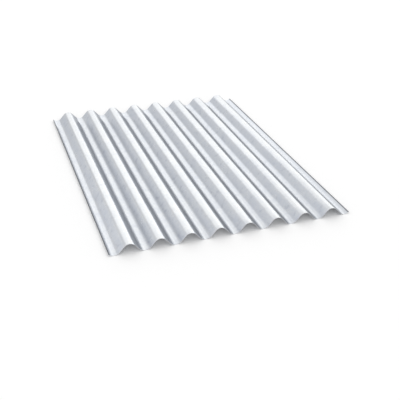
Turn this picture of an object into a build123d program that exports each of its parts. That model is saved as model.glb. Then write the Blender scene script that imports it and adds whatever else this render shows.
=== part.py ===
from build123d import *
import math
import os

# A corrugated steel roofing sheet, roll-formed from one galvanised strip and lying flat.
# X runs across the corrugations, Y along them and Z up. The origin is the middle of the
# sheet's footprint, at the level of the surface that the troughs rest on. Millimetres.

PITCH = 67.73  # from crest to crest: 2 2/3 inches
DEPTH = 22.2  # from trough to crest, on one side of the sheet: 7/8 inch
FLANK_SLOPE = 48.0  # degrees, of the straight flank between a trough and a crest
CORRUGATIONS = 8  # whole waves, counted between the two outer troughs
EDGE_TURN = 47.0  # degrees that each outer trough turns up before the strip's edge
THICKNESS = 0.7  # 24 gauge galvanised strip
LENGTH = 762.0  # cut square at both ends: 30 inches


def bend_radius():
    """Radius of every crest and trough at the middle of the thickness.

    A crest and a trough half a pitch apart turn through the flank's slope each, and the
    straight flank that touches both has to climb the rest of the depth.
    """
    slope = math.radians(FLANK_SLOPE)
    across = PITCH / 2 * math.sin(slope)
    climb = DEPTH * math.cos(slope)
    return (across - climb) / (2 - 2 * math.cos(slope))


def wave_side(offset):
    """One side of the section, from the left edge to the right, as arcs and flanks.

    offset is the side's distance above the middle of the thickness. It widens the
    crests' arcs and tightens the troughs' arcs, which keep their centres.
    """
    radius = bend_radius()
    trough_centre_z = THICKNESS / 2 + radius
    crest_centre_z = THICKNESS / 2 + DEPTH - radius
    first_trough_x = -CORRUGATIONS * PITCH / 2
    edges = []
    for half_wave in range(2 * CORRUGATIONS + 1):
        x = first_trough_x + half_wave * PITCH / 2
        if half_wave % 2:
            bend = CenterArc((x, crest_centre_z), radius + offset, 90 + FLANK_SLOPE, -2 * FLANK_SLOPE)
        else:
            turn_in = EDGE_TURN if half_wave == 0 else FLANK_SLOPE
            turn_out = EDGE_TURN if half_wave == 2 * CORRUGATIONS else FLANK_SLOPE
            bend = CenterArc((x, trough_centre_z), radius - offset, 270 - turn_in, turn_in + turn_out)
        if edges:
            edges.append(Line(edges[-1] @ 1, bend @ 0))
        edges.append(bend)
    return edges


def sheet_section():
    """The sheet's end face: its two sides, closed by the strip's two edges."""
    top = wave_side(THICKNESS / 2)
    underside = wave_side(-THICKNESS / 2)
    left_edge = Line(underside[0] @ 0, top[0] @ 0)
    right_edge = Line(top[-1] @ 1, underside[-1] @ 1)
    return make_face([*top, right_edge, *underside, left_edge])


def corrugated_sheet():
    """The section, drawn in the XZ plane and carried half the length each way."""
    return extrude(Plane.XZ * sheet_section(), amount=LENGTH / 2, both=True)


os.makedirs("parts", exist_ok=True)
export_step(corrugated_sheet(), "parts/corrugated_sheet.step")
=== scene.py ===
import math
import bpy
import numpy as np
from mathutils import Matrix, Vector


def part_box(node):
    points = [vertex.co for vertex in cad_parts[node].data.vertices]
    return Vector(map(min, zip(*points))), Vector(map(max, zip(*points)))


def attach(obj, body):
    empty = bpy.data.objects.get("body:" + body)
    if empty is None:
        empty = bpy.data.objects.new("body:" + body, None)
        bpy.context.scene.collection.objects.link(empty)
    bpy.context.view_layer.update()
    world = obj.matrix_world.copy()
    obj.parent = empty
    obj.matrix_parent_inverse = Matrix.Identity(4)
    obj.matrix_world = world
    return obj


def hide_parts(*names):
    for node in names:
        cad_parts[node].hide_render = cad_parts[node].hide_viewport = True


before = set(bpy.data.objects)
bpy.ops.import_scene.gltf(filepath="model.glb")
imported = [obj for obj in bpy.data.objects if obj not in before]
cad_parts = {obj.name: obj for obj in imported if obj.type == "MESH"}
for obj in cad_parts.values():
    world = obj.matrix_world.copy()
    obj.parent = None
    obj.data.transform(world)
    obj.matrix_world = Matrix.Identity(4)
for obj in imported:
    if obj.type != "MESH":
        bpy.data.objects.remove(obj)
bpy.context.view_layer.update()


# The sheet's form: a strip of 24 gauge steel, run through rolls that bend it into eight
# round corrugations with straight flanks. Both outer troughs turn up to the slit edges,
# so that the next sheet's trough laps in them. Metres, as the rest of this file.
SHEET_NODE = "corrugated_sheet"
PITCH = 0.06773  # from crest to crest
THICKNESS = 0.0007
FLANK_SLOPE = math.radians(48)
EDGE_TURN = math.radians(47)
SPRING_BACK = 0.0006  # over which a bend fades into the flank beside it
QUARTER_COLUMNS = 18  # mesh columns from a trough's bottom to the middle of a flank
LIP_COLUMNS = 6  # and from an outer trough's bottom to the slit edge
FINE_STEPS = 40  # steps a column, to work the form out in
ROW_STEP = 0.018  # from one cross row to the next

sheet_low, sheet_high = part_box(SHEET_NODE)
length = sheet_high.y - sheet_low.y
depth = sheet_high.z - sheet_low.z - THICKNESS
waves = int((sheet_high.x - sheet_low.x) / PITCH)
climb = depth * math.cos(FLANK_SLOPE)
bend_radius = (PITCH / 2 * math.sin(FLANK_SLOPE) - climb) / (2 - 2 * math.cos(FLANK_SLOPE))


# Where the strip is sheared, its upper corner is drawn down before the cut goes through,
# which leaves every edge with a rounded shoulder that catches the light.
SHOULDER_REACH = 0.0009  # in from the edge
SHOULDER_DROP = 0.00025
SHOULDER_STEPS = (0.0, 0.12, 0.35, 0.65, 1.0)  # shares of the reach


def shoulder(inward):
    """How far the upper face is drawn down at a distance from the sheared edge."""
    share = np.clip(1 - inward / SHOULDER_REACH, 0, 1)
    return SHOULDER_DROP * (1 - np.sqrt(1 - share ** 2))


def quarter_wave():
    """The strip from a trough's bottom to the middle of a flank, as fine rows of x, z, slope and run.

    It springs back a little behind the rolls, so the bend fades into the flank. The run is
    the length along the strip.
    """
    bend = bend_radius * FLANK_SLOPE
    flank = (PITCH / 2 - 2 * bend_radius * math.sin(FLANK_SLOPE)) / math.cos(FLANK_SLOPE)
    run = np.linspace(0, bend + flank / 2, QUARTER_COLUMNS * FINE_STEPS + 1)
    past_bend = SPRING_BACK * np.logaddexp(0, (run - bend) / SPRING_BACK)
    slope = (run - past_bend) / bend_radius
    middle_slope = (slope[1:] + slope[:-1]) / 2
    x = np.concatenate([[0], np.cumsum(np.cos(middle_slope))])
    z = np.concatenate([[0], np.cumsum(np.sin(middle_slope))])
    x = x * PITCH / 4 / x[-1]
    z = z * depth / 2 / z[-1]
    return np.column_stack([x, z + THICKNESS / 2, slope, run])


def roll_section():
    """Stations from one slit edge to the other at mid-thickness, as rows of x, z and slope."""
    fine = quarter_wave()
    quarter = fine[::FINE_STEPS, :3]
    to_crest = np.vstack([quarter, (PITCH / 2, depth + THICKNESS, 0) + quarter[-2::-1] * (-1, -1, 1)])
    wave = np.vstack([to_crest, (PITCH, 0, 0) + to_crest[-2::-1] * (-1, 1, -1)])
    stations = [wave[:-1] + ((count - waves / 2) * PITCH, 0, 0) for count in range(waves)]
    last_trough = wave[:1] + (waves * PITCH / 2, 0, 0)
    edge_run = np.interp(bend_radius * math.sin(EDGE_TURN), fine[:, 0], fine[:, 3])
    lip_runs = np.linspace(0, edge_run - SHOULDER_REACH, LIP_COLUMNS + 1)[1:-1]
    shoulder_runs = edge_run - SHOULDER_REACH * np.array(SHOULDER_STEPS[::-1])
    lip_runs = np.concatenate([lip_runs, shoulder_runs])
    lip = np.column_stack([np.interp(lip_runs, fine[:, 3], column) for column in fine[:, :3].T])
    right_lip = lip + (waves * PITCH / 2, 0, 0)
    left_lip = right_lip[::-1] * (-1, 1, -1)
    return np.vstack([left_lip, *stations, last_trough, right_lip])


# Rolling and handling leave the flanks very slightly uneven: the bends hold their line,
# and the thin metal between them stands off by a tenth of a millimetre or so.
UNEVEN = 0.0001
UNEVEN_WAVES = (  # across, along, phase
    (0.21, 0.34, 0.4),
    (-0.13, 0.17, 2.1),
    (0.37, -0.11, 4.4),
    (0.09, 0.52, 1.3),
)


def unevenness(across, along):
    """Height of the flanks' unevenness at a place on the flat strip."""
    turns = [along / row + across / column + phase for column, row, phase in UNEVEN_WAVES]
    return UNEVEN * sum(np.sin(2 * math.pi * turn) for turn in turns) / 2


def skin_points(section, side):
    """One face of the sheet as a grid of points, and the same points on the flat strip.

    side is 1 for the upper face and -1 for the underside.
    """
    steps = np.hypot(np.diff(section[:, 0]), np.diff(section[:, 1]))
    across = np.concatenate([[0], np.cumsum(steps)])
    margin = SHOULDER_REACH * np.array(SHOULDER_STEPS)
    rows = int(length / ROW_STEP)
    middle = np.linspace(-length / 2 + SHOULDER_REACH, length / 2 - SHOULDER_REACH, rows)
    along = np.concatenate([-length / 2 + margin[:-1], middle, length / 2 - margin[-2::-1]])
    across, along = np.meshgrid(across, along)
    x, z, slope = (np.broadcast_to(column, across.shape) for column in section.T)
    stand_off = unevenness(across, along) * (np.sin(slope) / math.sin(FLANK_SLOPE)) ** 2
    stand_off = stand_off * np.clip(np.minimum(across, across.max() - across) / PITCH, 0, 1)
    stand_off = stand_off + side * THICKNESS / 2
    if side > 0:
        stand_off = stand_off - shoulder(length / 2 - np.abs(along))
        stand_off = stand_off - shoulder(np.minimum(across, across.max() - across))
    points = np.stack([x - stand_off * np.sin(slope), along, z + stand_off * np.cos(slope)], -1)
    return points, np.stack([across, along], -1)


ZINC, END_FACE, SLIT_EDGE = range(3)  # the sheet's material slots
UNDERSIDE_OFFSET = 3.0  # keeps the patterns of the two faces apart
CORNER = math.radians(40)  # the rim's corners are sharper than this, and no bend is


def sheet_mesh():
    """The closed skin of the sheet: both faces, and the sheared rim between them."""
    section = roll_section()
    upper, upper_flat = skin_points(section, 1)
    under, under_flat = skin_points(section, -1)
    rows, columns = upper.shape[:2]
    index = np.arange(rows * columns).reshape(rows, columns)
    quads = np.stack([index[:-1, :-1], index[:-1, 1:], index[1:, 1:], index[1:, :-1]], -1).reshape(-1, 4)
    rim = np.concatenate([index[0], index[1:, -1], index[-1, -2::-1], index[-2:0:-1, 0]])
    below = rim + rows * columns
    rim_quads = np.column_stack([rim, below, np.roll(below, -1), np.roll(rim, -1)])
    faces = np.vstack([quads, quads[:, ::-1] + rows * columns, rim_quads])
    mesh = bpy.data.meshes.new("galvanised_sheet")
    mesh.from_pydata(np.concatenate([upper, under]).reshape(-1, 3).tolist(), [], faces.tolist())
    end_face = [END_FACE] * (columns - 1)
    slit_edge = [SLIT_EDGE] * (rows - 1)
    mesh.polygons.foreach_set("material_index", [ZINC] * (2 * len(quads)) + (end_face + slit_edge) * 2)
    mesh.shade_smooth()
    mesh.set_sharp_from_angle(angle=CORNER)
    flat = np.concatenate([upper_flat, under_flat]).reshape(-1, 2)
    from_slit = np.minimum(flat[:, 0], flat[:, 0].max() - flat[:, 0])
    flat[len(flat) // 2:, 0] += UNDERSIDE_OFFSET
    place = mesh.attributes.new("flat_strip", "FLOAT_VECTOR", "POINT")
    place.data.foreach_set("vector", np.column_stack([flat, 0 * from_slit]).astype(np.float32).ravel())
    distance = mesh.attributes.new("from_slit", "FLOAT", "POINT")
    distance.data.foreach_set("value", from_slit.astype(np.float32))
    height = mesh.attributes.new("up_the_wave", "FLOAT", "POINT")
    share = np.concatenate([upper, under])[..., 2].ravel() / depth
    height.data.foreach_set("value", share.astype(np.float32))
    return mesh


sheet = bpy.data.objects.new("galvanised_sheet", sheet_mesh())
bpy.context.scene.collection.objects.link(sheet)


# The zinc: the strip's hot-dipped coating, a satin grey with a fine, faint spangle of
# feathered grains. The rolls draw fine lines along it, the flanks keep their smudges, and
# air has put a thin, slightly matt film on it. The bends are painted brighter than the
# flanks and the crests brighter than the troughs, as painted highlights and painted shade,
# and a band along each slit edge is painted near black as shade.
SPANGLE = 0.0055  # across a grain
RAGGED_STEP = 0.0025  # from one stray of a grain's outline to the next
RAGGED = 0.00275  # how far the outline strays, from side to side
FEATHER = 0.0009  # from one branch of a grain to the next
CLOUD = 0.06  # across a cloud, where the bath left the zinc a little brighter or duller
ROLL_LINE = 0.0012  # across a line, and along it
ROLL_LINE_LENGTH = 0.4
SMUDGE = 0.016  # across a smudge
SMUDGE_EDGE = (0.54, 0.70)  # heights of the noise where a smudge begins and is whole
# The light and dark ends of the zinc's tone. The patterns wander between them at random, and the painted
# highlights on the bends and the painted shade on the flanks and troughs go between them too.
ZINC_LIGHT_TONE = (0.668, 0.680, 0.686, 1)
ZINC_DARK_TONE = (0.490, 0.525, 0.592, 1)
GRAIN_SHADES = 0.22  # each pattern's share of the way from the light zinc tone to the dark
CLOUD_SHADES = 0.4
LINE_SHADES = 0.3
FEATHER_SHADES = 0.04
PAINTED_BEND_HIGHLIGHT = 0.45  # painted highlight: how far the bends are painted brighter than the flanks, which are painted shade
PAINTED_HIGHLIGHT_FROM = 0.4  # where that begins, if 0 is mid flank and 1 a crest or trough
PAINTED_TROUGH_SHADE = 0.15  # painted shade: how far the crests are painted lighter and the troughs darker
SMUDGED_BENDS = 0.08  # how far a smudge goes over to its grey: the bends are rubbed clean
SMUDGED_FLANKS = 0.42
SMUDGE_GREY = (0.36, 0.388, 0.445, 1)
SLIT_REACH = 0.0038  # how far in from a slit edge the zinc is painted near black, as painted shade along the long edges
SLIT_PAINTED_SHADE = 0.95
SLIT_SHADE_GREY = (0.15, 0.155, 0.165, 1)
SATIN = 0.29
MOTTLED_ROUGHNESS = 0.1
SMUDGE_AND_EDGE_ROUGHNESS = 0.15
METALLIC = 0.85  # the rest is the matt film
GRAZING_TINT = (0.42, 0.423, 0.427, 1)  # of what the zinc mirrors at a low angle
RELIEF = 0.0000025  # the feathers, the grains' domes and the roll lines have shares of it
FEATHER_RELIEF = 0.15
DOME_RELIEF = 0.3
DOME_EDGE = 0.1  # how far in from its border a grain falls away, as a share of the grain
LINE_RELIEF = 0.6


class Signal:
    """A socket of a material's nodes, so that its maths reads as plain arithmetic.

    One without a socket adds the first nodes of a tree.
    """

    def __init__(self, tree, socket=None):
        self.tree = tree
        self.socket = socket

    def node(self, kind, settings=(), sockets=(), output=0):
        """Adds a node: its settings first, and then the values or links of its sockets."""
        made = self.tree.nodes.new(kind)
        for name, value in dict(settings).items():
            setattr(made, name, value)
        for name, value in dict(sockets).items():
            if isinstance(value, Signal):
                self.tree.links.new(value.socket, made.inputs[name])
            else:
                made.inputs[name].default_value = value
        return Signal(self.tree, made.outputs[output] if made.outputs else None)

    def maths(self, operation, other=0.0):
        return self.node("ShaderNodeMath", {"operation": operation}, {0: self, 1: other})

    def __add__(self, other):
        return self.maths("ADD", other)

    def __sub__(self, other):
        return self.maths("SUBTRACT", other)

    def __rsub__(self, other):
        return self.node("ShaderNodeMath", {"operation": "SUBTRACT"}, {0: other, 1: self})

    def __mul__(self, other):
        return self.maths("MULTIPLY", other)

    __radd__ = __add__
    __rmul__ = __mul__


def colour_between(amount, first, second):
    """The first colour, going over to the second as amount goes from 0 to 1."""
    return amount.node("ShaderNodeMix", {"data_type": "RGBA"}, {0: amount, 6: first, 7: second}, output=2)


def spangle(place):
    """The zinc's grains: a shade for each, the feathers in it, and the way to its border."""
    stray = place.node("ShaderNodeTexNoise", {},
                       {"Vector": place, "Scale": 1 / RAGGED_STEP, "Detail": 2.0}, "Color")
    stray = place.node("ShaderNodeVectorMath", {"operation": "SUBTRACT"}, {0: stray, 1: (0.5, 0.5, 0.5)})
    place = place.node("ShaderNodeVectorMath", {"operation": "MULTIPLY_ADD"},
                       {0: stray, 1: (RAGGED,) * 3, 2: place})
    cells = {"Vector": place, "Scale": 1 / SPANGLE}
    grain = place.node("ShaderNodeTexVoronoi", {"voronoi_dimensions": "2D"}, cells, "Color")
    border = place.node("ShaderNodeTexVoronoi",
                        {"voronoi_dimensions": "2D", "feature": "DISTANCE_TO_EDGE"}, cells)
    shade, turn = (place.node("ShaderNodeSeparateXYZ", {}, {0: grain}, axis) for axis in "XY")
    across, along = (place.node("ShaderNodeSeparateXYZ", {}, {0: place}, axis) for axis in "XY")
    turn = turn * (2 * math.pi)
    branches = across * turn.maths("COSINE") + along * turn.maths("SINE")
    feather = (branches * (2 * math.pi / FEATHER)).maths("SINE")
    return shade, feather, border


def smooth_step(value, start, end):
    """0 up to start and 1 from end on, with a smooth change between them."""
    return value.node("ShaderNodeMapRange", {"interpolation_type": "SMOOTHSTEP"},
                      {"Value": value, "From Min": start, "From Max": end})


def blank_material(name):
    """A material with no nodes yet, and the signal that adds them."""
    material = bpy.data.materials.new(name)
    material.use_nodes = True
    material.node_tree.nodes.clear()
    return material, Signal(material.node_tree)


def zinc_material():
    material, zinc = blank_material("hot_dip_zinc")
    place = zinc.node("ShaderNodeAttribute", {"attribute_name": "flat_strip"}, output="Vector")
    grain, feather, border = spangle(place)
    cloud = zinc.node("ShaderNodeTexNoise", {}, {"Vector": place, "Scale": 1 / CLOUD, "Detail": 3.0})
    drawn = zinc.node("ShaderNodeVectorMath", {"operation": "MULTIPLY"},
                      {0: place, 1: (1 / ROLL_LINE, 1 / ROLL_LINE_LENGTH, 1)})
    roll_lines = zinc.node("ShaderNodeTexNoise", {}, {"Vector": drawn, "Scale": 1.0, "Detail": 2.0})
    mottle = (grain - 0.5) * GRAIN_SHADES + (cloud - 0.5) * CLOUD_SHADES + (roll_lines - 0.5) * LINE_SHADES
    smudges = zinc.node("ShaderNodeTexNoise", {}, {"Vector": place, "Scale": 1 / SMUDGE, "Detail": 4.0})
    smudges = smooth_step(smudges, *SMUDGE_EDGE)
    from_slit = zinc.node("ShaderNodeAttribute", {"attribute_name": "from_slit"}, output="Fac")
    # Painted shade: a near-black band on the zinc along each slit edge.
    slit_shade = smooth_step(from_slit, SLIT_REACH, SLIT_REACH / 3)
    up_the_wave = zinc.node("ShaderNodeAttribute", {"attribute_name": "up_the_wave"}, output="Fac")
    # Painted highlight and shade: the bends are painted brighter than the flanks, and the crests brighter
    # than the troughs.
    above_middle = up_the_wave - 0.5
    bend = above_middle * above_middle * 4
    painted_light_and_shade = (bend - PAINTED_HIGHLIGHT_FROM) * PAINTED_BEND_HIGHLIGHT + above_middle * PAINTED_TROUGH_SHADE
    zinc_darkness = 0.5 - painted_light_and_shade + mottle + feather * FEATHER_SHADES
    colour = colour_between(zinc_darkness, ZINC_LIGHT_TONE, ZINC_DARK_TONE)
    smudges = smudges * (SMUDGED_FLANKS - bend * (SMUDGED_FLANKS - SMUDGED_BENDS))
    colour = colour_between(smudges, colour, SMUDGE_GREY)
    colour = colour_between(slit_shade * SLIT_PAINTED_SHADE, colour, SLIT_SHADE_GREY)
    rough = SATIN + mottle * MOTTLED_ROUGHNESS + (smudges + slit_shade) * SMUDGE_AND_EDGE_ROUGHNESS
    domes = border.maths("MINIMUM", DOME_EDGE) * (DOME_RELIEF / DOME_EDGE)
    height = feather * FEATHER_RELIEF + domes + roll_lines * LINE_RELIEF
    relief = zinc.node("ShaderNodeBump", {}, {"Height": height, "Distance": RELIEF})
    shader = zinc.node("ShaderNodeBsdfPrincipled", {}, {
        "Base Color": colour, "Metallic": METALLIC, "Roughness": rough, "Normal": relief,
        "Specular Tint": GRAZING_TINT})
    zinc.node("ShaderNodeOutputMaterial", {}, {"Surface": shader})
    return material


# The sheared rim: bare steel with fine marks straight through the thickness. The ends are
# cut last and stay bright. The long slit edges are bare steel too, darker than zinc, and painted darker
# still as shade along the edges.
END_BRIGHT = (0.86, 0.86, 0.87, 1)
END_MARKS = (0.66, 0.66, 0.67, 1)
# The slit edges' steel: bare steel, partly its own darker colour and partly painted shade along the long
# edges.
SLIT_STEEL_SHADED = (0.30, 0.30, 0.31, 1)
SLIT_MARKS_SHADED = (0.16, 0.16, 0.17, 1)
END_ROUGHNESS = 0.25
SLIT_ROUGHNESS = 0.4
MARK_ROUGHNESS = 0.2
SHEAR_MARK = 0.000625  # from one mark to the next
SHEAR_RELIEF = 0.00003


def sheared_material(name, bright, marked, roughness):
    material, steel = blank_material(name)
    place = steel.node("ShaderNodeTexCoord", output="Object")
    marks = steel.node("ShaderNodeTexNoise", {}, {"Vector": place, "Scale": 1 / SHEAR_MARK, "Detail": 2.0})
    relief = steel.node("ShaderNodeBump", {}, {"Height": marks, "Distance": SHEAR_RELIEF})
    shader = steel.node("ShaderNodeBsdfPrincipled", {}, {
        "Base Color": colour_between(marks, bright, marked), "Metallic": 1.0,
        "Roughness": marks * MARK_ROUGHNESS + roughness, "Normal": relief})
    steel.node("ShaderNodeOutputMaterial", {}, {"Surface": shader})
    return material


sheet.data.materials.append(zinc_material())
sheet.data.materials.append(sheared_material("cut_end_steel", END_BRIGHT, END_MARKS, END_ROUGHNESS))
sheet.data.materials.append(
    sheared_material("slit_edge_steel", SLIT_STEEL_SHADED, SLIT_MARKS_SHADED, SLIT_ROUGHNESS))
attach(sheet, "root")
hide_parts(SHEET_NODE)


# The ground: a wide, matt white studio floor that the troughs lie on. What the camera and
# the metal see of it is lifted a little, and farther out it goes over to the white backdrop.
FLOOR_SIZE = 16.0
FLOOR_WHITE = 0.92
FLOOR_LIFT = 0.06
FLOOR_FADE = (2.5, 7.0)  # from the sheet's middle, where that begins and is whole
BACKDROP_LIGHT = 0.92  # of the backdrop on what it lights, where 1 is white

floor_mesh = bpy.data.meshes.new("studio_floor")
half = FLOOR_SIZE / 2
floor_corners = [(-half, -half, 0), (half, -half, 0), (half, half, 0), (-half, half, 0)]
floor_mesh.from_pydata(floor_corners, [], [(0, 1, 2, 3)])
floor = bpy.data.objects.new("studio_floor", floor_mesh)
bpy.context.scene.collection.objects.link(floor)


def seen_directly(signal):
    """1 for what is seen, straight, mirrored or through glass, and 0 for light that is scattered."""
    rays = ("Is Camera Ray", "Is Glossy Ray", "Is Transmission Ray")
    seen, mirrored, through = (signal.node("ShaderNodeLightPath", output=ray) for ray in rays)
    return seen.maths("MAXIMUM", mirrored).maths("MAXIMUM", through)


def backdrop_strength(signal):
    """1 where the backdrop is seen, and a little less where it only gives light."""
    return seen_directly(signal) * (1 - BACKDROP_LIGHT) + BACKDROP_LIGHT


def floor_material():
    material, white = blank_material("matt_white")
    matt = white.node("ShaderNodeBsdfDiffuse", {}, {"Color": (FLOOR_WHITE,) * 3 + (1,)})
    lift = white.node("ShaderNodeEmission", {}, {"Strength": seen_directly(white) * FLOOR_LIFT})
    near = white.node("ShaderNodeAddShader", {}, {0: matt, 1: lift})
    far = white.node("ShaderNodeEmission", {}, {"Strength": backdrop_strength(white)})
    place = white.node("ShaderNodeNewGeometry", output="Position")
    distance = white.node("ShaderNodeVectorMath", {"operation": "LENGTH"}, {0: place}, "Value")
    whole = white.node("ShaderNodeMixShader", {}, {0: smooth_step(distance, *FLOOR_FADE), 1: near, 2: far})
    white.node("ShaderNodeOutputMaterial", {}, {"Surface": whole})
    return material


floor_mesh.materials.append(floor_material())


# The backdrop: white paper all round, which is seen and mirrored as plain white, and
# gives a slightly weaker light to what stands in it.
world = bpy.data.worlds.new("white_backdrop")
world.use_nodes = True
world.node_tree.nodes.clear()
backdrop = Signal(world.node_tree)
background = backdrop.node("ShaderNodeBackground", {},
                           {"Color": (1, 1, 1, 1), "Strength": backdrop_strength(backdrop)})
backdrop.node("ShaderNodeOutputWorld", {}, {"Surface": background})
bpy.context.scene.world = world


# The lamps: two long softboxes behind the sheet, one above the other, which the crests and
# troughs mirror, a low one each side of them for the sloping flanks, and a broad one
# behind the camera. Metres from the middle of the sheet, and watts.
def softbox(name, place, width, height, watts):
    lamp = bpy.data.lights.new(name, "AREA")
    lamp.shape = "RECTANGLE"
    lamp.size = width
    lamp.size_y = height
    lamp.energy = watts
    box = bpy.data.objects.new(name, lamp)
    box.location = place
    box.rotation_euler = (-Vector(place)).to_track_quat("-Z", "Y").to_euler()
    box.visible_camera = False
    bpy.context.scene.collection.objects.link(box)


softbox("back_softbox", (2.0, 6.0, 1.25), 6.9, 2.4, 43.2)
softbox("upper_softbox", (1.43, 5.4, 3.35), 8.05, 2.4, 50.4)
softbox("right_softbox", (3.0, 5.2, 0.85), 4.4, 1.6, 19)
softbox("left_softbox", (-3.0, 5.17, 0.6), 3.2, 1.1, 4)
softbox("front_softbox", (-1.5, -5.4, 2.3), 5.0, 3.4, 45)


# The camera: at the front left and above, where the photograph was taken from. It looks
# down on the sheet, and is level but for a small roll.
CAMERA_PLACE = (-0.49718, -1.56715, 0.80474)
CAMERA_YAW = math.radians(19.278)
CAMERA_DOWN = math.radians(29.271)
CAMERA_ROLL = math.radians(0.445)
CAMERA_LENS = 62.007  # millimetres, as the sensor
CAMERA_SENSOR = 36

camera_data = bpy.data.cameras.new("camera")
camera_data.lens = CAMERA_LENS
camera_data.sensor_width = CAMERA_SENSOR
camera = bpy.data.objects.new("camera", camera_data)
turned = Matrix.Rotation(-CAMERA_YAW, 4, "Z") @ Matrix.Rotation(math.pi / 2 - CAMERA_DOWN, 4, "X")
turned = turned @ Matrix.Rotation(CAMERA_ROLL, 4, "Z")
camera.matrix_world = Matrix.Translation(CAMERA_PLACE) @ turned
bpy.context.scene.collection.objects.link(camera)
bpy.context.scene.camera = camera
bpy.context.scene.view_settings.view_transform = "Standard"
